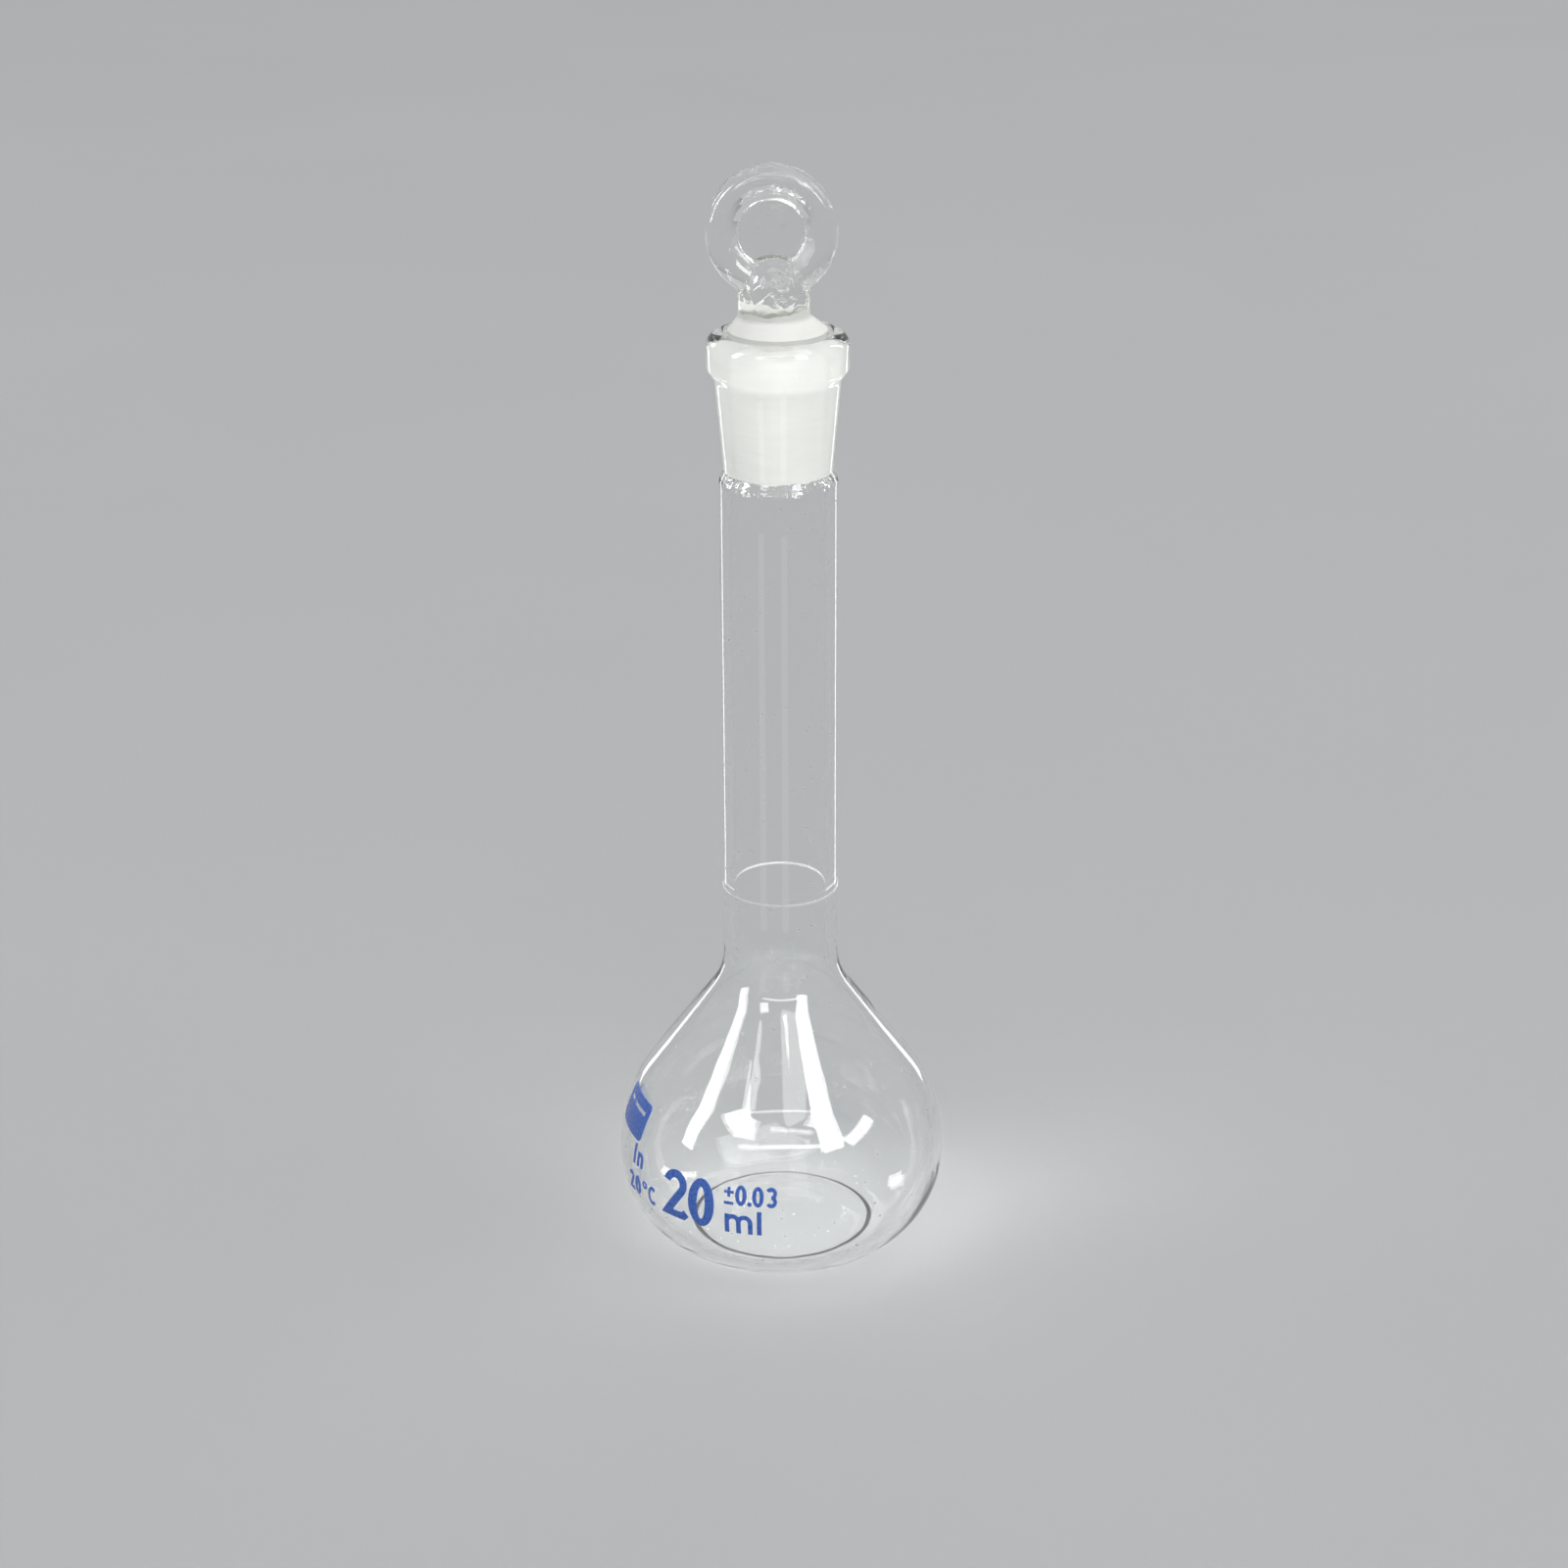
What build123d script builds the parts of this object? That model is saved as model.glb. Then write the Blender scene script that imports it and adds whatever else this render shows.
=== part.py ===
"""Volumetric flask, 20 ml, with a ground-in pressed-glass stopper.

Millimetres, +Z up. The origin is the middle of the ring that the flask stands on, the stopper's flat head
faces -Y and the enamel marks are on the front left of the bulb.
"""

from build123d import *
import os
from math import asin, cos, degrees, radians, sin

os.makedirs("parts", exist_ok=True)

# ---- Blown bulb: a chain of tangent arcs from the standing ring up to the neck ----
bulb_radius = 18.5
equator_height = 10.35
side_radius = 11.3
shoulder_radius = 18.4
cone_slope = 36.4
neck_blend_radius = 7.5
neck_radius = 6.375
wall = 1.18
bulb_top = 37.5

# ---- Standing ring and pushed-up base ----
foot_radius = 10.6
kick_radius = 10.0
kick_rise = 1.1
kick_extra_glass = 0.5

# ---- Neck and graduation mark ----
mark_height = 43.2
neck_top = 89.9
ring_width = 0.25

# ---- Ground socket, 1:10 on the diameter, and the collar round its mouth ----
joint_taper = 1 / 20
rim_height = 106.2
rim_bore_radius = 5.25
ground_start = 91.0
socket_foot_radius = 5.85
socket_head_radius = 6.72
socket_head_height = 101.2
collar_radius = 7.57
collar_height = 102.3
collar_top_round = 1.45
mouth_round = 0.8

# ---- Stopper: ground plug, pressed stem with a domed top, flat round head ----
ground_gap = 0.03
plug_bottom = 92.6
plug_top = 106.5
plug_bevel = 0.4
stem_start = 107.95
stem_radius = 3.78
stem_offset = -0.4
stem_top = 114.35
stem_top_round = 3.5
head_offset = -0.57
head_height = 116.8
head_radius = 6.93
head_thickness = 4.7
head_round = 1.2
recess_radius = 4.55
recess_depth = 1.3
recess_draft = 36

# ---- Fired enamel: its thickness, two lines of marks, and the sizes of the two sets of characters ----
enamel = 0.06
stamp_depth = 4.0
base_line = 8.7
upper_line = 12.2
number_height = 5.8
number_width = 3.3
number_stroke = 1.12
number_thin_stroke = 0.95
small_height = 2.35
small_width = 1.3
small_stroke = 0.45
sign_height = 2.0
sign_width = 1.1
sign_stroke = 0.32
point_size = 0.5
unit_width = 3.2
unit_tall = 2.95
unit_stroke = 0.52
low_letter_height = 1.75
degree_radius = 0.45
degree_stroke = 0.25
capital_c_width = 1.5

# ---- The plain panel of enamel further round, with one line left clear in it ----
panel_width = 7.2
panel_height = 4.2
panel_round = 0.6
panel_line_height = 17.0
panel_slot_margin = 0.8
panel_slot_rise = 0.84

# ---- How far round the bulb from its front each mark stands ----
capacity_reaches = (-13.0, -9.4)
tolerance_reaches = (-6.0, -4.6, -3.6, -2.65, -1.15)
unit_reaches = (-4.85, -2.5)
room_reaches = (-20.9, -19.5)
temperature_reaches = (-21.4, -19.8, -18.2, -16.7)
panel_reach = -24.0

# Sizes that follow from the ones above.
foot_reach = foot_radius - (bulb_radius - side_radius)
foot_round = (side_radius**2 - foot_reach**2 - equator_height**2) / (2 * (side_radius - equator_height))
foot_turn = degrees(asin(foot_reach / (side_radius - foot_round)))
cone_top_radius = bulb_radius - shoulder_radius * (1 - cos(radians(cone_slope)))
blend_reach = neck_blend_radius * (1 - cos(radians(cone_slope)))
cone_length = (cone_top_radius - neck_radius - blend_reach) / sin(radians(cone_slope))
bore_radius = neck_radius - wall


def body_profile(inset, top):
    """Half section of the blown body, `inset` inside its outer surface, from its floor up to `top`."""
    with BuildSketch(Plane.XZ) as profile:
        with BuildLine():
            floor = Line((0, inset), (foot_radius, inset))
            foot = JernArc(floor @ 1, (1, 0), foot_round - inset, foot_turn)
            side = JernArc(foot @ 1, foot % 1, side_radius - inset, 90 - foot_turn)
            shoulder = JernArc(side @ 1, side % 1, shoulder_radius - inset, cone_slope)
            cone = PolarLine(shoulder @ 1, cone_length, direction=shoulder % 1)
            blend = JernArc(cone @ 1, cone % 1, neck_blend_radius + inset, -cone_slope)
            neck = Line(blend @ 1, (neck_radius - inset, top))
            Polyline(neck @ 1, (0, top), floor @ 0)
        make_face()
    return profile.sketch


def cap_profile(radius, base, rise):
    """Half section of a shallow round cap that stands on the height `base`."""
    with BuildSketch(Plane.XZ) as profile:
        with BuildLine():
            dome = TangentArc((0, base + rise), (radius, base), tangent=(1, 0))
            Polyline(dome @ 1, (0, base), dome @ 0)
        make_face()
    return profile.sketch


def socket_bore(height):
    """Radius of the ground bore at a height."""
    return rim_bore_radius - (rim_height - height) * joint_taper


# ---- Outlines of the enamel marks, each centred on x = 0 and standing on y = 0 ----
def oval_digit(width, height, side_stroke, cap_stroke):
    """The digit 0 as a ring of two ellipses."""
    with BuildSketch() as glyph:
        with Locations((0, height / 2)):
            Ellipse(width / 2, height / 2)
            Ellipse(width / 2 - side_stroke, height / 2 - cap_stroke, mode=Mode.SUBTRACT)
    return glyph.sketch


def digit_two(width, height, stroke):
    """The digit 2: a round bowl, a straight diagonal and a foot."""
    bowl_radius = (width - stroke) / 2
    with BuildSketch() as glyph:
        with BuildLine():
            bowl = CenterArc((0, height - stroke / 2 - bowl_radius), bowl_radius, 170, -205)
            foot = Line((-bowl_radius, stroke / 2), (bowl_radius, stroke / 2))
            Line(foot @ 1, (width / 2, stroke))
            Line(bowl @ 1, foot @ 0)
        trace(line_width=stroke)
    return glyph.sketch


def digit_three(width, height, stroke):
    """The digit 3: two round bowls that meet half way up."""
    bowl_radius = (height - stroke) / 4
    reach = (width - stroke) / 2 / bowl_radius
    with BuildSketch() as glyph:
        for middle, start in ((height / 2 + bowl_radius, 150), (height / 2 - bowl_radius, 90)):
            with BuildLine():
                CenterArc((0, middle), bowl_radius, start, -240)
            trace(line_width=stroke)
    return scale(glyph.sketch, by=(reach, 1, 1))


def arched_letter(width, height, stroke, arches):
    """The letter n, or m with two arches: an upright and a round arch for each further leg."""
    span = (width - stroke) / arches
    left = -(width - stroke) / 2
    with BuildSketch() as glyph:
        with BuildLine():
            Line((left, 0), (left, height))
        trace(line_width=stroke)
        for leg in range(arches):
            start = left + leg * span
            spring = height - stroke / 2 - span / 2
            with BuildLine():
                arch = CenterArc((start + span / 2, spring), span / 2, 180, -180)
                Line(arch @ 1, (start + span, 0))
            trace(line_width=stroke)
    return glyph.sketch


def upright(height, stroke):
    """A plain upright bar: the letters l and I."""
    with BuildSketch() as glyph:
        Rectangle(stroke, height, align=(Align.CENTER, Align.MIN))
    return glyph.sketch


def plus_minus(width, height, stroke):
    """A plus sign over a bar."""
    with BuildSketch() as glyph:
        Rectangle(width, stroke, align=(Align.CENTER, Align.MIN))
        with Locations((0, height - width / 2)):
            Rectangle(width, stroke)
            Rectangle(stroke, width)
    return glyph.sketch


def letter_c(width, height, stroke):
    """The letter C: three quarters of a ring, drawn narrow."""
    ring_radius = (height - stroke) / 2
    with BuildSketch() as glyph:
        with BuildLine():
            CenterArc((0, height / 2), ring_radius, 50, 260)
        trace(line_width=stroke)
    return scale(glyph.sketch, by=(width / height, 1, 1))


def small_ring(radius, stroke, height):
    """The degree sign, hung from a height."""
    with BuildSketch() as glyph:
        with Locations((0, height - radius)):
            Circle(radius)
            Circle(radius - stroke, mode=Mode.SUBTRACT)
    return glyph.sketch


def point(size):
    """The decimal point."""
    with BuildSketch() as glyph:
        with Locations((0, size / 2)):
            Circle(size / 2)
    return glyph.sketch


def stamp(glyph, reach, height):
    """Drives an outline into the bulb, `reach` round it from the front and `height` above the floor."""
    azimuth = reach / bulb_radius
    outward = Vector(sin(azimuth), -cos(azimuth), 0)
    along = Vector(cos(azimuth), sin(azimuth), 0)
    face_plane = Plane((outward.X * bulb_radius, outward.Y * bulb_radius, height), x_dir=along, z_dir=outward)
    with BuildSketch(face_plane) as outline:
        add(glyph)
    extrude(outline.sketch, amount=stamp_depth, both=True)


def keep_enamel():
    """Trims what has been stamped to a thin layer on the outside of the bulb."""
    revolve(body_profile(-enamel, bulb_top), axis=Axis.Z, mode=Mode.INTERSECT)
    revolve(body_profile(0, bulb_top), axis=Axis.Z, mode=Mode.SUBTRACT)


# ---- Flask ----
with BuildPart() as bulb:
    revolve(body_profile(0, bulb_top), axis=Axis.Z)
    revolve(body_profile(wall, bulb_top), axis=Axis.Z, mode=Mode.SUBTRACT)
    revolve(cap_profile(kick_radius, wall, kick_rise + kick_extra_glass), axis=Axis.Z)
    revolve(cap_profile(kick_radius, 0, kick_rise), axis=Axis.Z, mode=Mode.SUBTRACT)

with BuildPart() as neck_tube:
    with BuildSketch(Plane.XY.offset(bulb_top)):
        Circle(neck_radius)
        Circle(bore_radius, mode=Mode.SUBTRACT)
    extrude(amount=neck_top - bulb_top)

# The socket is sealed on with a soft shoulder inside and outside, then runs straight up to its collar.
with BuildPart() as ground_socket:
    with BuildSketch(Plane.XZ):
        with BuildLine():
            upward = (0, 1)
            bore_end = (rim_bore_radius, rim_height)
            bore_start = (socket_bore(ground_start), ground_start)
            inner_seal = Spline((bore_radius, neck_top), bore_start, tangents=[upward, upward])
            Line(inner_seal @ 1, bore_end)
            rim = Line(bore_end, (collar_radius, rim_height))
            collar = Line(rim @ 1, (collar_radius, collar_height))
            underside = Line(collar @ 1, (socket_head_radius, socket_head_height))
            taper = Line(underside @ 1, (socket_foot_radius, ground_start))
            outer_seal = Spline(taper @ 1, (neck_radius, neck_top), tangents=[taper % 1, (0, -1)])
            Line(outer_seal @ 1, inner_seal @ 0)
        make_face()
    revolve(axis=Axis.Z)
    rim_outside = edges().filter_by(GeomType.CIRCLE).group_by(Axis.Z)[-1].sort_by(SortBy.RADIUS)[-1]
    fillet(rim_outside, radius=collar_top_round)
    rim_inside = edges().filter_by(GeomType.CIRCLE).group_by(Axis.Z)[-1].sort_by(SortBy.RADIUS)[0]
    fillet(rim_inside, radius=mouth_round)

with BuildPart() as graduation_ring:
    with BuildSketch(Plane.XY.offset(mark_height - ring_width / 2)):
        Circle(neck_radius + enamel)
        Circle(neck_radius, mode=Mode.SUBTRACT)
    extrude(amount=ring_width)

# ---- Enamel marks on the bulb ----
big_two = digit_two(number_width, number_height, number_thin_stroke)
big_zero = oval_digit(number_width, number_height, number_stroke, number_thin_stroke)
small_two = digit_two(small_width, small_height, small_stroke)
small_zero = oval_digit(small_width, small_height, small_stroke, small_stroke)
small_three = digit_three(small_width, small_height, small_stroke)
sign = plus_minus(sign_width, sign_height, sign_stroke)
letter_m = arched_letter(unit_width, small_height, unit_stroke, 2)
letter_n = arched_letter(small_width, low_letter_height, small_stroke, 1)

with BuildPart() as print_capacity:
    for glyph, reach in zip((big_two, big_zero), capacity_reaches):
        stamp(glyph, reach, base_line)
    keep_enamel()

with BuildPart() as print_tolerance:
    characters = (sign, small_zero, point(point_size), small_zero, small_three)
    for glyph, reach in zip(characters, tolerance_reaches):
        stamp(glyph, reach, upper_line)
    keep_enamel()

with BuildPart() as print_unit:
    for glyph, reach in zip((letter_m, upright(unit_tall, unit_stroke)), unit_reaches):
        stamp(glyph, reach, base_line)
    keep_enamel()

with BuildPart() as print_temperature:
    for glyph, reach in zip((upright(small_height, small_stroke), letter_n), room_reaches):
        stamp(glyph, reach, upper_line)
    degree = small_ring(degree_radius, degree_stroke, small_height)
    capital_c = letter_c(capital_c_width, small_height, small_stroke)
    for glyph, reach in zip((small_two, small_zero, degree, capital_c), temperature_reaches):
        stamp(glyph, reach, base_line)
    keep_enamel()

with BuildPart() as print_panel:
    with BuildSketch() as panel:
        RectangleRounded(panel_width, panel_height, radius=panel_round)
        with Locations((0, panel_slot_rise)):
            Rectangle(panel_width - 2 * panel_slot_margin, small_stroke, mode=Mode.SUBTRACT)
    stamp(panel.sketch, panel_reach, panel_line_height)
    keep_enamel()

# ---- Stopper ----
plug_top_radius = socket_bore(plug_top) - ground_gap
plug_bottom_radius = socket_bore(plug_bottom) - ground_gap

with BuildPart(mode=Mode.PRIVATE) as stem:
    with Locations((stem_offset, 0, stem_start)):
        Cylinder(stem_radius, stem_top - stem_start, align=(Align.CENTER, Align.CENTER, Align.MIN))
    fillet(edges().sort_by(Axis.Z)[-1], radius=stem_top_round)

with BuildPart() as stopper:
    with BuildSketch(Plane.XZ.offset(-head_thickness / 2)):
        with Locations((head_offset, head_height)):
            Circle(head_radius)
    extrude(amount=head_thickness)
    fillet(edges().filter_by(GeomType.CIRCLE), radius=head_round)
    for face in (faces().sort_by(Axis.Y)[0], faces().sort_by(Axis.Y)[-1]):
        with BuildSketch(Plane(face)):
            Circle(recess_radius)
        extrude(amount=-recess_depth, taper=recess_draft, mode=Mode.SUBTRACT)
    add(stem.part)
    with BuildSketch(Plane.XY.offset(plug_top)):
        Circle(plug_top_radius)
    with BuildSketch(Plane.XY.offset(stem_start)):
        with Locations((stem_offset, 0)):
            Circle(stem_radius)
    loft()
    with Locations((0, 0, plug_bottom)):
        plug_height = plug_top - plug_bottom
        Cone(plug_bottom_radius, plug_top_radius, plug_height, align=(Align.CENTER, Align.CENTER, Align.MIN))
    chamfer(edges().sort_by(Axis.Z)[0], length=plug_bevel)

for name, piece in {
    "bulb": bulb,
    "neck_tube": neck_tube,
    "ground_socket": ground_socket,
    "graduation_ring": graduation_ring,
    "stopper": stopper,
    "print_capacity": print_capacity,
    "print_tolerance": print_tolerance,
    "print_unit": print_unit,
    "print_temperature": print_temperature,
    "print_panel": print_panel,
}.items():
    piece.part.label = name
    export_step(piece.part, f"parts/{name}.step")

with BuildPart() as contents:
    revolve(body_profile(wall, mark_height), axis=Axis.Z)
    revolve(cap_profile(kick_radius, wall, kick_rise + kick_extra_glass), axis=Axis.Z, mode=Mode.SUBTRACT)
print("contents to the ring, ml:", round(contents.part.volume / 1000, 2))
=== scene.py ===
"""Looks of the volumetric flask: blown glass, a frosted ground joint, a pressed stopper and fired enamel."""

from math import asin, atan2, ceil, cos, hypot, pi, radians, sin

import bpy
from mathutils import Matrix, Vector, noise


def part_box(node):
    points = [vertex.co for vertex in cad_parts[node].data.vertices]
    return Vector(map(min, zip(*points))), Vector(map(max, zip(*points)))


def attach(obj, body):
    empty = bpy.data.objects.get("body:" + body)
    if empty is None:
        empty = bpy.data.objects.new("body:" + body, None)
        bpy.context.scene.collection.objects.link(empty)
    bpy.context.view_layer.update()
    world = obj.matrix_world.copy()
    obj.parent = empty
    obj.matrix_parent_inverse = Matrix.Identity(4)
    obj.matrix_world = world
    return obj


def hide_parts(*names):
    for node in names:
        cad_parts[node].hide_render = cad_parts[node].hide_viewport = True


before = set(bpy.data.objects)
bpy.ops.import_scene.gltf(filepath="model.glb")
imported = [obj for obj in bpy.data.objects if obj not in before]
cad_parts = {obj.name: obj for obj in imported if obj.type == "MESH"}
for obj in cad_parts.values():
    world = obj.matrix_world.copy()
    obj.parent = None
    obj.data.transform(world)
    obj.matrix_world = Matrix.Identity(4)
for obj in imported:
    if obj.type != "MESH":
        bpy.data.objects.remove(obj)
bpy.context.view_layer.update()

MM = 0.001
TURN = 2 * pi


# ---------------------------------------------------------------- sizes, in millimetres
def span_mm(node):
    """Lowest and highest corner of a CAD node in millimetres."""
    low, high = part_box(node)
    return Vector(low) / MM, Vector(high) / MM


bulb_low, bulb_high = span_mm("bulb")
neck_low, neck_high = span_mm("neck_tube")
socket_low, socket_high = span_mm("ground_socket")
stopper_low, stopper_high = span_mm("stopper")

# The blown body, the same chain of tangent arcs as the CAD bulb.
bulb_radius = bulb_high.x
neck_radius = neck_high.x
neck_top = neck_high.z
wall = 1.18
equator_height = 10.35
side_radius = 11.3
shoulder_radius = 18.4
cone_slope = radians(36.4)
neck_blend = 7.5
foot_radius = 10.6
kick_radius = 10.0
kick_rise = 1.1
kick_glass = 0.5

# The ground socket and its collar.
rim_height = socket_high.z
collar_radius = socket_high.x
collar_height = 102.3
collar_top_round = 1.45
collar_under_round = 0.45
mouth_round = 0.8
rim_bore = 5.25
ground_start = 91.0
seal_round = 1.1
socket_foot_radius = 5.85
socket_head_radius = 6.72
socket_head_height = 101.2
taper = 1 / 20

# The stopper.
ground_gap = 0.03
plug_bottom = stopper_low.z
plug_top = 106.5
plug_bevel = 0.4
stem_radius = 3.78
stem_start = 107.95
stem_top = 114.35
stem_top_round = 3.5
stem_offset = -0.4
head_radius = 6.93
head_offset = stopper_low.x + head_radius
head_height = stopper_high.z - head_radius
head_half = 2.35
head_round = 1.2
recess_radius = 4.55
recess_floor = 3.6
recess_depth = 1.3
seam_angle = radians(97)
seam_width = 1.5

# Where the frosted glass begins and ends, and how far its uneven edge strays.
frost_low = ground_start - 0.1
frost_low_sway = 0.4
frost_high = stem_start + 0.75
frost_high_sway = 0.35
frost_high_lean = 0.3

# How far the hand-made surfaces stray: the blown walls, the sealed joint, the pressed stem and head.
outer_wave = 0.012
inner_wave = 0.10
seal_crease = 0.03
seal_ripple = 0.12
stem_ripple = 0.02
stem_crease = 0.16
stem_crease_height = 110.9
head_ripple = 0.03
patch_ripple = 0.05
seam_rise = 0.06
patch_angle = radians(38)


# ---------------------------------------------------------------- outlines
def arc(middle, radius, start, end, step):
    """Points of an arc from one angle to another, in radians, about `step` apart."""
    count = max(2, ceil(abs(end - start) * radius / step))
    angles = [start + (end - start) * i / count for i in range(count + 1)]
    return [(middle[0] + radius * cos(a), middle[1] + radius * sin(a)) for a in angles]


def line(start, end, step):
    """Points of a straight run, about `step` apart, without its first point."""
    count = max(1, ceil(hypot(end[0] - start[0], end[1] - start[1]) / step))
    return [(start[0] + (end[0] - start[0]) * i / count, start[1] + (end[1] - start[1]) * i / count)
            for i in range(1, count + 1)]


def ease(start, end, step):
    """Points of a soft S-curve between two heights, without its first point."""
    count = max(4, ceil(abs(end[1] - start[1]) / step))
    points = []
    for i in range(1, count + 1):
        t = i / count
        blend = t * t * (3 - 2 * t)
        points.append((start[0] + (end[0] - start[0]) * blend, start[1] + (end[1] - start[1]) * t))
    return points


def cap(radius, base, rise, step):
    """Points of a shallow cap from its crown on the axis out to its edge."""
    curve = (radius**2 + rise**2) / (2 * rise)
    edge = asin(radius / curve)
    return arc((0, base + rise - curve), curve, pi / 2, pi / 2 - edge, step)


def body_side(inset, step):
    """The blown body's side, `inset` inside its outer surface, from its foot up to the neck."""
    side_middle = (bulb_radius - side_radius, equator_height)
    reach = foot_radius - side_middle[0]
    foot_round = side_radius**2 - reach**2 - equator_height**2
    foot_round /= 2 * (side_radius - equator_height)
    foot_end = asin(reach / (side_radius - foot_round)) - pi / 2
    points = arc((foot_radius, foot_round), foot_round - inset, -pi / 2, foot_end, step)
    points += arc(side_middle, side_radius - inset, foot_end, 0, step)[1:]
    shoulder_middle = (bulb_radius - shoulder_radius, equator_height)
    points += arc(shoulder_middle, shoulder_radius - inset, 0, cone_slope, step)[1:]
    blend_reach = neck_blend * (1 - cos(cone_slope))
    cone_top = shoulder_middle[0] + shoulder_radius * cos(cone_slope)
    cone_length = (cone_top - neck_radius - blend_reach) / sin(cone_slope)
    cone_start = points[-1]
    cone_end = (cone_start[0] - cone_length * sin(cone_slope), cone_start[1] + cone_length * cos(cone_slope))
    points += line(cone_start, cone_end, step)
    blend = neck_blend + inset
    middle = (cone_end[0] + blend * cos(cone_slope), cone_end[1] + blend * sin(cone_slope))
    points += arc(middle, blend, pi + cone_slope, pi, step)[1:]
    return points


def bore_at(height):
    """Radius of the ground bore at a height."""
    return rim_bore - (rim_height - height) * taper


def flask_outline():
    """The flask's whole section, from the middle of the base round the outside and back down the inside."""
    points = cap(kick_radius, 0, kick_rise, 0.4)
    points += body_side(0, 0.35)
    points += line(points[-1], (neck_radius, neck_top), 1.2)
    shoulder_turn = radians(34)
    points += arc((neck_radius - seal_round, neck_top), seal_round, 0, shoulder_turn, 0.05)[1:]
    points += ease(points[-1], (socket_foot_radius, ground_start + 0.4), 0.08)
    under = (socket_head_radius, socket_head_height)
    points += line(points[-1], under, 0.35)
    edge = (collar_radius - collar_under_round * 0.6, collar_height - collar_under_round * 0.6)
    points += line(under, edge, 0.15)
    points += ease(edge, (collar_radius, collar_height + collar_under_round * 0.5), 0.06)
    corner = (collar_radius - collar_top_round, rim_height - collar_top_round)
    points += arc(corner, collar_top_round, 0, pi / 2, 0.12)
    mouth = (rim_bore + mouth_round, rim_height - mouth_round)
    points += arc(mouth, mouth_round, pi / 2, pi, 0.08)
    points += line(points[-1], (bore_at(ground_start), ground_start), 0.16)
    points += ease(points[-1], (neck_radius - wall, neck_top - 0.4), 0.08)
    inside = body_side(wall, 0.35)
    points += line(points[-1], inside[-1], 1.2)
    points += inside[-2::-1]
    points += line(points[-1], (kick_radius, wall), 0.3)
    points += cap(kick_radius, wall, kick_rise + kick_glass, 0.4)[-2::-1]
    return points


# ---------------------------------------------------------------- meshes
def waves(point, size, seed):
    """Smooth noise between -1 and 1 with features about `size` millimetres wide."""
    return noise.noise(Vector((point.x / size + seed, point.y / size - seed, point.z / size + 2 * seed)))


def lathe(name, outline, sides, middle_x=None, relief=None, slide=None, frosted_row=None):
    """A mesh turned about the vertical axis. An outline point on the axis becomes one vertex.

    `middle_x(height)` moves the axis sideways, `relief(point, row)` gives the metal added outwards there,
    `slide(point, row)` moves it up, and the rows picked by `frosted_row(row)` take the frosted material.
    """
    verts, faces, skins, rings = [], [], [], []
    for row, (radius, height) in enumerate(outline):
        shift = middle_x(height) if middle_x else 0.0
        if radius < 1e-6:
            rings.append([len(verts)])
            verts.append(Vector((shift, 0, height)))
            continue
        ring = []
        for side in range(sides):
            angle = TURN * side / sides
            outward = Vector((cos(angle), sin(angle), 0))
            point = outward * radius + Vector((shift, 0, height))
            added = relief(point, row) if relief else 0.0
            risen = slide(point, row) if slide else 0.0
            ring.append(len(verts))
            verts.append(point + outward * added + Vector((0, 0, risen)))
        rings.append(ring)
    for row, (lower, upper) in enumerate(zip(rings, rings[1:])):
        skin = 1 if frosted_row and frosted_row(row) else 0
        for side in range(sides):
            after = (side + 1) % sides
            if len(lower) == 1 and len(upper) == 1:
                continue
            if len(lower) == 1:
                faces.append((lower[0], upper[after], upper[side]))
            elif len(upper) == 1:
                faces.append((lower[side], lower[after], upper[0]))
            else:
                faces.append((lower[side], lower[after], upper[after], upper[side]))
            skins.append(skin)
    mesh = bpy.data.meshes.new(name)
    mesh.from_pydata(verts, [], faces)
    mesh.polygons.foreach_set("material_index", skins)
    return mesh


def dress(mesh, clear_skin, frosted_skin):
    """Gives a mesh its clear and frosted materials."""
    skins = [face.material_index for face in mesh.polygons]
    mesh.materials.clear()
    mesh.materials.append(clear_skin)
    mesh.materials.append(frosted_skin)
    mesh.polygons.foreach_set("material_index", skins)
    return mesh


def place(mesh):
    """Scales a millimetre mesh to metres and puts it in the scene."""
    mesh.transform(Matrix.Scale(MM, 4))
    piece = bpy.data.objects.new(mesh.name, mesh)
    bpy.context.collection.objects.link(piece)
    return piece


def smooth(mesh, sharp_angle=35):
    """Smooth shading that keeps the edges sharper than an angle."""
    mesh.shade_smooth()
    mesh.set_sharp_from_angle(angle=radians(sharp_angle))


# ---------------------------------------------------------------- materials
glass_ior = 1.474


def new_material(name):
    """An empty node material with its shader, and its output."""
    material = bpy.data.materials.new(name)
    material.use_nodes = True
    tree = material.node_tree
    tree.nodes.clear()
    output = tree.nodes.new("ShaderNodeOutputMaterial")
    shader = tree.nodes.new("ShaderNodeBsdfPrincipled")
    tree.links.new(shader.outputs["BSDF"], output.inputs["Surface"])
    return material, tree, shader, output


def object_noise(tree, scale, detail=2.0, roughness=0.5, stretch=(1, 1, 1)):
    """A noise texture in object space, `scale` features to the metre. Returns its factor socket."""
    where = tree.nodes.new("ShaderNodeTexCoord")
    mapping = tree.nodes.new("ShaderNodeMapping")
    mapping.inputs["Scale"].default_value = stretch
    texture = tree.nodes.new("ShaderNodeTexNoise")
    texture.inputs["Scale"].default_value = scale
    texture.inputs["Detail"].default_value = detail
    texture.inputs["Roughness"].default_value = roughness
    tree.links.new(where.outputs["Object"], mapping.inputs["Vector"])
    tree.links.new(mapping.outputs["Vector"], texture.inputs["Vector"])
    return texture.outputs["Fac"]


def spread(tree, factor, low, high, low_value, high_value):
    """Maps a factor from one range to another, clamped."""
    node = tree.nodes.new("ShaderNodeMapRange")
    node.inputs["From Min"].default_value = low
    node.inputs["From Max"].default_value = high
    node.inputs["To Min"].default_value = low_value
    node.inputs["To Max"].default_value = high_value
    tree.links.new(factor, node.inputs["Value"])
    return node.outputs["Result"]


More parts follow.
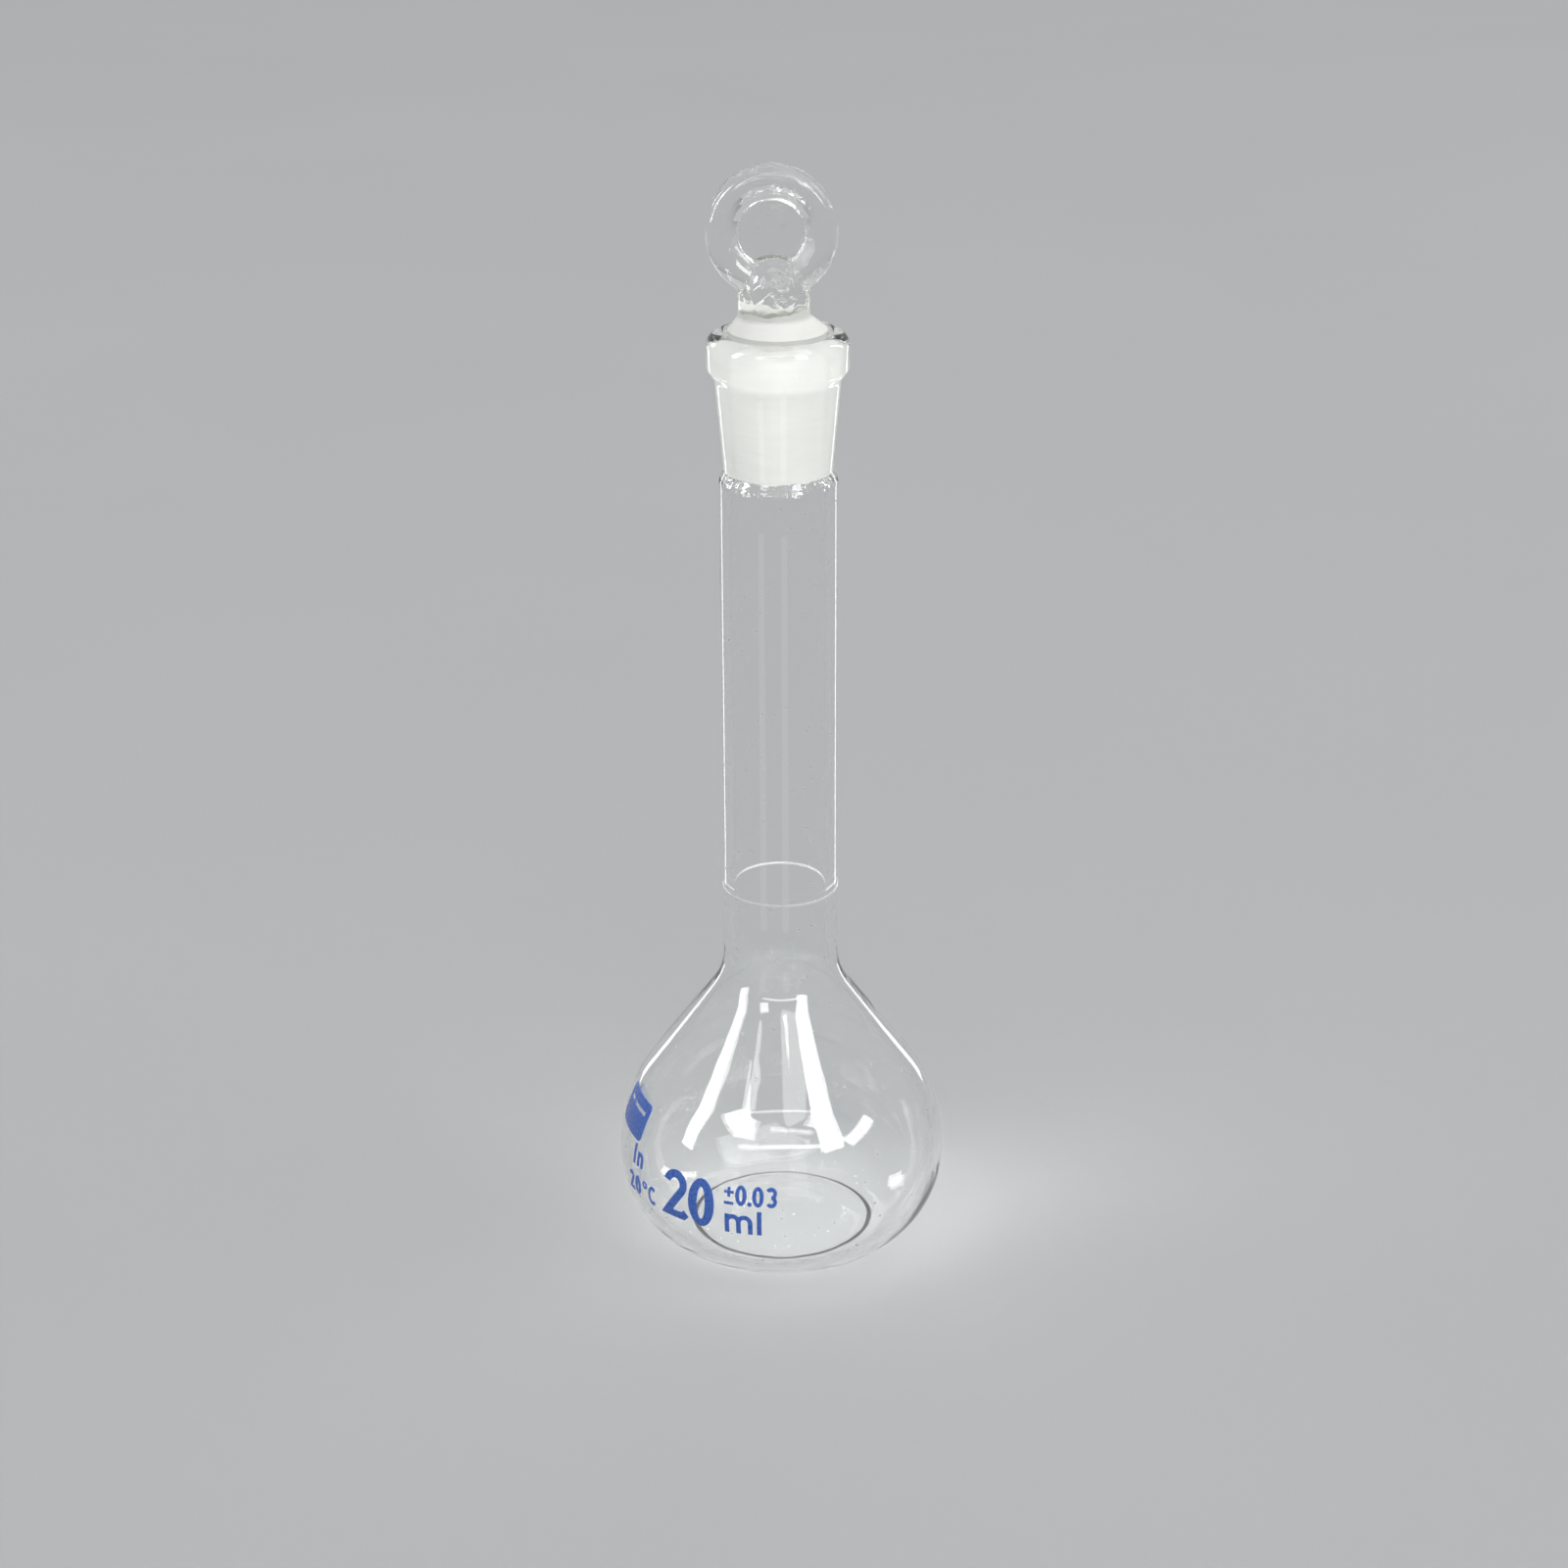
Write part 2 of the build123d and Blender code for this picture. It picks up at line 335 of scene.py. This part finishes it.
def tint(tree, factor, dark, light):
    """Two colours mixed by a factor."""
    ramp = tree.nodes.new("ShaderNodeValToRGB")
    ramp.color_ramp.elements[0].color = (*dark, 1)
    ramp.color_ramp.elements[1].color = (*light, 1)
    tree.links.new(factor, ramp.inputs["Fac"])
    return ramp.outputs["Color"]


def spot(tree, middle, reach):
    """1 around a point given in millimetres, fading to 0 at `reach` from it."""
    where = tree.nodes.new("ShaderNodeTexCoord")
    gap = tree.nodes.new("ShaderNodeVectorMath")
    gap.operation = "DISTANCE"
    gap.inputs[1].default_value = Vector(middle) * MM
    tree.links.new(where.outputs["Object"], gap.inputs[0])
    return spread(tree, gap.outputs["Value"], 0.65 * reach * MM, reach * MM, 1, 0)


def combine(tree, operation, first, second):
    """Two factors combined by a maths operation. The second may be a plain number."""
    node = tree.nodes.new("ShaderNodeMath")
    node.operation = operation
    tree.links.new(first, node.inputs[0])
    if isinstance(second, float):
        node.inputs[1].default_value = second
    else:
        tree.links.new(second, node.inputs[1])
    return node.outputs["Value"]


def bump(tree, shader, height, strength, distance):
    """Bends the shader's normal by a height."""
    node = tree.nodes.new("ShaderNodeBump")
    node.inputs["Strength"].default_value = strength
    node.inputs["Distance"].default_value = distance
    tree.links.new(height, node.inputs["Height"])
    tree.links.new(node.outputs["Normal"], shader.inputs["Normal"])


def specks(tree, scale, size):
    """Small round specks: 1 in a speck, 0 elsewhere."""
    where = tree.nodes.new("ShaderNodeTexCoord")
    cells = tree.nodes.new("ShaderNodeTexVoronoi")
    cells.inputs["Scale"].default_value = scale
    tree.links.new(where.outputs["Object"], cells.inputs["Vector"])
    return spread(tree, cells.outputs["Distance"], size, size * 0.5, 0, 1)


def pass_lamps(tree, shader, output, share):
    """Lets rays from lamps through the glass, so that what it holds is lit."""
    path = tree.nodes.new("ShaderNodeLightPath")
    open_side = tree.nodes.new("ShaderNodeBsdfTransparent")
    open_side.inputs["Color"].default_value = (share, share, share, 1)
    mix = tree.nodes.new("ShaderNodeMixShader")
    tree.links.new(path.outputs["Is Shadow Ray"], mix.inputs["Fac"])
    tree.links.new(shader.outputs["BSDF"], mix.inputs[1])
    tree.links.new(open_side.outputs["BSDF"], mix.inputs[2])
    tree.links.new(mix.outputs["Shader"], output.inputs["Surface"])


def glass(name, smear, wave_size, wave_strength, wrinkled_spots=()):
    """Clear borosilicate: colourless, faintly wavy, with a few dust specks and faint smears.

    `wrinkled_spots` are (middle, reach) pairs in millimetres where the surface is finely wrinkled.
    """
    material, tree, shader, output = new_material(name)
    shader.inputs["IOR"].default_value = glass_ior
    shader.inputs["Transmission Weight"].default_value = 1.0
    haze = object_noise(tree, 220, 4)
    colour = tint(tree, haze, (0.975, 0.985, 0.98), (0.99, 0.995, 0.992))
    tree.links.new(colour, shader.inputs["Base Color"])
    film = spread(tree, haze, 0.62, 0.8, 0.0, smear)
    dust = spread(tree, specks(tree, 520, 0.09), 0, 1, 0, 0.5)
    tree.links.new(combine(tree, "MAXIMUM", film, dust), shader.inputs["Roughness"])
    height = object_noise(tree, 1000 / wave_size, 2, stretch=(1, 1, 0.35))
    for middle, reach in wrinkled_spots:
        broken = spread(tree, haze, 0.42, 0.56, 0, 1)
        patch = combine(tree, "MULTIPLY", spot(tree, middle, reach), broken)
        wrinkles = combine(tree, "MULTIPLY", patch, object_noise(tree, 2300, 3))
        height = combine(tree, "ADD", height, combine(tree, "MULTIPLY", wrinkles, 3.0))
    bump(tree, shader, height, wave_strength, 0.0004)
    pass_lamps(tree, shader, output, 0.86)
    return material


def ground(name):
    """The frosted surface of a ground joint: milky, finely grained, with faint turned streaks."""
    material, tree, shader, output = new_material(name)
    shader.inputs["IOR"].default_value = glass_ior
    shader.inputs["Transmission Weight"].default_value = 0.12
    streaks = object_noise(tree, 300, 3, stretch=(1, 1, 7))
    colour = tint(tree, streaks, (0.85, 0.855, 0.82), (0.935, 0.935, 0.90))
    tree.links.new(colour, shader.inputs["Base Color"])
    grain = object_noise(tree, 900, 3)
    tree.links.new(spread(tree, grain, 0.3, 0.7, 0.45, 0.65), shader.inputs["Roughness"])
    bump(tree, shader, object_noise(tree, 9000, 2), 0.35, 0.00003)
    return material


def enamel(name, dark, light, shine):
    """Fired enamel: slightly mottled, glossy, with soft unevenness."""
    material, tree, shader, output = new_material(name)
    mottle = object_noise(tree, 2600, 3)
    tree.links.new(tint(tree, mottle, dark, light), shader.inputs["Base Color"])
    tree.links.new(spread(tree, mottle, 0.3, 0.7, shine, shine + 0.15), shader.inputs["Roughness"])
    bump(tree, shader, object_noise(tree, 5000, 2), 0.2, 0.00002)
    return material


def floor_paper(name):
    """Plain pale matt paper."""
    material, tree, shader, output = new_material(name)
    mottle = object_noise(tree, 6, 3)
    colour = tint(tree, mottle, (0.47, 0.475, 0.48), (0.50, 0.505, 0.51))
    tree.links.new(colour, shader.inputs["Base Color"])
    shader.inputs["Roughness"].default_value = 0.9
    shader.inputs["Specular IOR Level"].default_value = 0.0
    return material


clear = glass("clear_glass", 0.12, 6, 0.08)
# Wrinkled places on the head, as how far across and up they are from its middle, with their reach.
head_spots = [(1.4, 5.5, 2.9), (3.9, 4.5, 3.0), (5.4, 2.2, 2.8)]
head_spots += [(1.9, 1.8, 2.6), (4.6, -2.6, 3.1), (3.4, -4.8, 2.8)]
wrinkled = [((head_offset + across, 0, head_height + up), reach) for across, up, reach in head_spots]
wrinkled.append(((stem_offset + 1, -stem_radius, stem_top - 2.6), 2.4))
pressed = glass("pressed_glass", 0.10, 2.5, 0.30, wrinkled)
frosted = ground("ground_glass")
blue = enamel("blue_enamel", (0.04, 0.12, 0.50), (0.065, 0.18, 0.64), 0.22)
white = enamel("white_enamel", (0.72, 0.73, 0.72), (0.90, 0.90, 0.88), 0.3)


# ---------------------------------------------------------------- flask
def ragged(point, seed):
    """An uneven edge between about -1 and 1: how far it strays at this side of the glass."""
    angle = atan2(point.y, point.x)
    around = Vector((cos(angle), sin(angle), 0))
    wide = noise.noise(around * 2.2 + Vector((0, 0, seed)))
    fine = noise.noise(around * 9 + Vector((seed, 0, 0)))
    return wide + 0.6 * fine


def nearness(height, middle, reach):
    """1 at a height, falling to 0 at `reach` from it."""
    return max(0.0, 1 - abs(height - middle) / reach)


def make_flask():
    """The flask as one continuous glass: blown body, neck, sealed-on socket."""
    outline = flask_outline()
    highest = max(height for radius, height in outline)
    inside = next(row for row, (radius, height) in enumerate(outline) if height == highest) + 4

    def relief(point, row):
        if row <= inside:
            crease = seal_crease * abs(waves(point, 0.9, 8)) * nearness(point.z, neck_top + 0.4, 0.9)
            return -outer_wave * abs(waves(point, 9, 3)) - crease
        body = inner_wave * waves(point, 11, 5) if point.z < neck_top else 0.0
        seal = seal_ripple * waves(point, 0.36, 8) * nearness(point.z, frost_low - 0.6, 0.9)
        return body + seal

    def slide(point, row):
        if row <= inside:
            return 0.0
        return frost_low_sway * ragged(point, 2) * nearness(point.z, frost_low, 1.3)

    def frosted_row(row):
        return row > inside and frost_low < outline[row][1] <= rim_height - mouth_round

    mesh = lathe("flask_glass", outline, 320, relief=relief, slide=slide, frosted_row=frosted_row)
    smooth(dress(mesh, clear, frosted))
    flask = place(mesh)
    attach(flask, "flask")
    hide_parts("bulb", "neck_tube", "ground_socket")
    return flask


# ---------------------------------------------------------------- stopper
def stopper_body():
    """Ground plug, flare and domed stem, with the stem a little off the plug's axis."""
    plug_low = bore_at(plug_bottom) - ground_gap
    plug_high = bore_at(plug_top) - ground_gap
    outline = [(0, plug_bottom)]
    outline += line(outline[-1], (plug_low - plug_bevel, plug_bottom), 0.5)
    outline += line(outline[-1], (plug_low, plug_bottom + plug_bevel), 0.12)
    outline += line(outline[-1], (plug_high, plug_top), 0.16)
    outline += line(outline[-1], (stem_radius + 0.1, stem_start - 0.1), 0.12)
    outline += line(outline[-1], (stem_radius, stem_start + 0.15), 0.12)
    outline += line(outline[-1], (stem_radius, stem_top - stem_top_round), 0.1)
    corner = (stem_radius - stem_top_round, stem_top - stem_top_round)
    outline += arc(corner, stem_top_round, 0, pi / 2, 0.12)[1:]
    outline += line(outline[-1], (0, stem_top), 0.3)

    def middle_x(height):
        t = min(1, max(0, (height - plug_top) / (stem_start - plug_top)))
        return stem_offset * t

    def relief(point, row):
        if point.z < stem_start:
            return 0.0
        crease = max(0.0, 1 - 5 * abs(waves(point, 1.7, 4))) * nearness(point.z, stem_crease_height, 2.6)
        return -stem_ripple * abs(waves(point, 1.6, 7)) - stem_crease * crease

    def slide(point, row):
        sway = frost_high_sway * ragged(point, 5) + frost_high_lean * point.x / stem_radius
        return sway * nearness(point.z, frost_high, 0.8)

    def frosted_row(row):
        return outline[row][1] < frost_high

    return lathe("stopper_body", outline, 200, middle_x, relief, slide, frosted_row)


def stopper_head():
    """The flat round head with a dished recess on both faces, pressed, with a seam and rippled patches."""
    front = [(0, head_half - recess_depth)]
    front += line(front[-1], (recess_floor - 0.15, head_half - recess_depth), 0.22)
    front += line(front[-1], (recess_floor + 0.05, head_half - recess_depth + 0.12), 0.1)
    front += line(front[-1], (recess_radius - 0.25, head_half - 0.22), 0.12)
    front += line(front[-1], (recess_radius + 0.15, head_half), 0.1)
    front += line(front[-1], (head_radius - head_round, head_half), 0.15)
    front += arc((head_radius - head_round, head_half - head_round), head_round, pi / 2, 0, 0.12)[1:]
    half = [(radius, -height) for radius, height in front]
    outline = half + line(half[-1], front[-1], 0.15)[:-1] + front[::-1]
    mesh = lathe("stopper_head", outline, 240)
    for vert in mesh.vertices:
        point = vert.co
        reach = hypot(point.x, point.y)
        angle = atan2(point.y, point.x)
        towards = max(0.0, cos(angle - patch_angle)) * (reach > recess_floor)
        patch = towards * max(0.0, min(1.0, 0.35 + 2 * waves(point, 2.6, 9)))
        ripple = head_ripple * abs(waves(point, 2.4, 6)) + patch_ripple * patch * abs(waves(point, 0.45, 7))
        beside = abs(reach * (angle - seam_angle)) - seam_width / 2
        seam = seam_rise * max(0.0, min(1.0, 1 - beside / 0.2)) * (reach > recess_floor)
        if reach < head_radius - 0.35:
            vert.co.z += (seam - ripple) * (1 if point.z > 0 else -1)
        else:
            vert.co *= 1 - (seam_rise - seam + ripple) / head_radius
    mesh.transform(Matrix.Rotation(pi / 2, 4, "X"))
    mesh.transform(Matrix.Translation((head_offset, 0, head_height)))
    return mesh


def join_solids(first, second, name):
    """The union of two closed meshes."""
    one = bpy.data.objects.new("one", first)
    two = bpy.data.objects.new("two", second)
    for solid in (one, two):
        bpy.context.collection.objects.link(solid)
    union = one.modifiers.new("union", "BOOLEAN")
    union.operation = "UNION"
    union.solver = "EXACT"
    union.object = two
    bpy.context.view_layer.update()
    mesh = bpy.data.meshes.new_from_object(one.evaluated_get(bpy.context.evaluated_depsgraph_get()))
    mesh.name = name
    for solid in (one, two):
        bpy.data.objects.remove(solid)
    return mesh


def make_stopper():
    """The stopper: one pressed piece, frosted from the plug's bottom up to the foot of the stem."""
    body = dress(stopper_body(), pressed, frosted)
    head = dress(stopper_head(), pressed, frosted)
    mesh = join_solids(body, head, "stopper_glass")
    smooth(mesh, 28)
    stopper = place(mesh)
    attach(stopper, "stopper")
    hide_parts("stopper")
    return stopper


make_flask()
make_stopper()

for node in ("print_capacity", "print_tolerance", "print_unit", "print_temperature", "print_panel"):
    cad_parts[node].data.materials.clear()
    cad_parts[node].data.materials.append(blue)
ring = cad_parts["graduation_ring"]
ring.data.materials.clear()
ring.data.materials.append(white)


# ---------------------------------------------------------------- floor, light and camera
def make_floor():
    """A wide pale floor."""
    half = 6.0
    mesh = bpy.data.meshes.new("floor")
    corners = [(-half, -half, 0), (half, -half, 0), (half, half, 0), (-half, half, 0)]
    mesh.from_pydata(corners, [], [(0, 1, 2, 3)])
    mesh.materials.append(floor_paper("floor_paper"))
    floor = bpy.data.objects.new("floor", mesh)
    bpy.context.collection.objects.link(floor)


def softbox(name, azimuth, elevation, distance, width, height, radiance, on_matt=True, through=True):
    """A rectangular area light aimed at the bulb, never seen by the camera itself.

    Azimuth, in degrees, is round from the camera's side to the right. A light that isn't `on_matt` only
    gleams on glass, and one that isn't `through` is seen only as a reflection.
    """
    azimuth, elevation = radians(azimuth), radians(elevation)
    aim = Vector((0, 0, 0.05))
    direction = Vector((sin(azimuth) * cos(elevation), -cos(azimuth) * cos(elevation), sin(elevation)))
    light = bpy.data.lights.new(name, "AREA")
    light.shape = "RECTANGLE"
    light.size = width
    light.size_y = height
    light.energy = radiance * width * height * pi
    lamp = bpy.data.objects.new(name, light)
    lamp.location = aim + direction * distance
    lamp.rotation_euler = (-direction).to_track_quat("-Z", "Y").to_euler()
    lamp.visible_diffuse = on_matt
    lamp.visible_camera = False
    lamp.visible_transmission = through
    bpy.context.collection.objects.link(lamp)


def make_light():
    """Soft boxes that gleam on the glass, low cards for its edges, a broad box overhead, a soft surround."""
    far, near = 0.9, 0.1
    softbox("left_box", -72, 24, far, 0.16, 0.62, 14, on_matt=False)
    softbox("right_box", 40, 31, far, 0.25, 0.50, 12, on_matt=False)
    softbox("low_left_box", -31, 34, far, 0.20, 0.22, 7, on_matt=False)
    softbox("high_box", -11, 49.3, far, 0.50, 0.10, 6, on_matt=False)
    softbox("strip", 0, 24, far, 1.1, 0.045, 5, on_matt=False)
    softbox("far_left_box", -134, 18, far, 0.16, 0.22, 6, on_matt=False)
    softbox("far_right_box", 126, 27, far, 0.07, 0.50, 8, on_matt=False)
    for name, azimuth in (("left_edge", -142), ("right_edge", 142)):
        softbox(name, azimuth, 0, near, 0.010, 0.1, 3, on_matt=False, through=False)
    for name, azimuth in (("left_card", -33), ("right_card", 10)):
        softbox(name, azimuth, -13, near, 0.020, 0.055, 0.9, on_matt=False, through=False)
    softbox("top_box", 35, 68, 4.8, 4.4, 4.4, 2.4)
    world = bpy.data.worlds.new("surround")
    world.use_nodes = True
    world.node_tree.nodes["Background"].inputs["Color"].default_value = (0.50, 0.505, 0.51, 1)
    bpy.context.scene.world = world


def make_camera():
    """The camera, a little above the stopper's height and looking down at the flask."""
    data = bpy.data.cameras.new("camera")
    data.sensor_width = 36.0
    data.lens = 75.39
    data.clip_start = 0.01
    camera = bpy.data.objects.new("camera", data)
    pitch = radians(22.32)
    roll = radians(-0.24)
    camera.location = (0.00045, -0.3352, 0.19275)
    look = Matrix.Rotation(pi / 2 - pitch, 4, "X") @ Matrix.Rotation(roll, 4, "Z")
    camera.rotation_euler = look.to_euler()
    bpy.context.collection.objects.link(camera)
    bpy.context.scene.camera = camera


make_floor()
make_light()
make_camera()
bpy.context.scene.view_settings.view_transform = "Standard"
# Light bounces many times inside thick glass before it comes out.
bpy.context.scene.cycles.max_bounces = 20
bpy.context.scene.cycles.glossy_bounces = 16
bpy.context.scene.cycles.transmission_bounces = 20
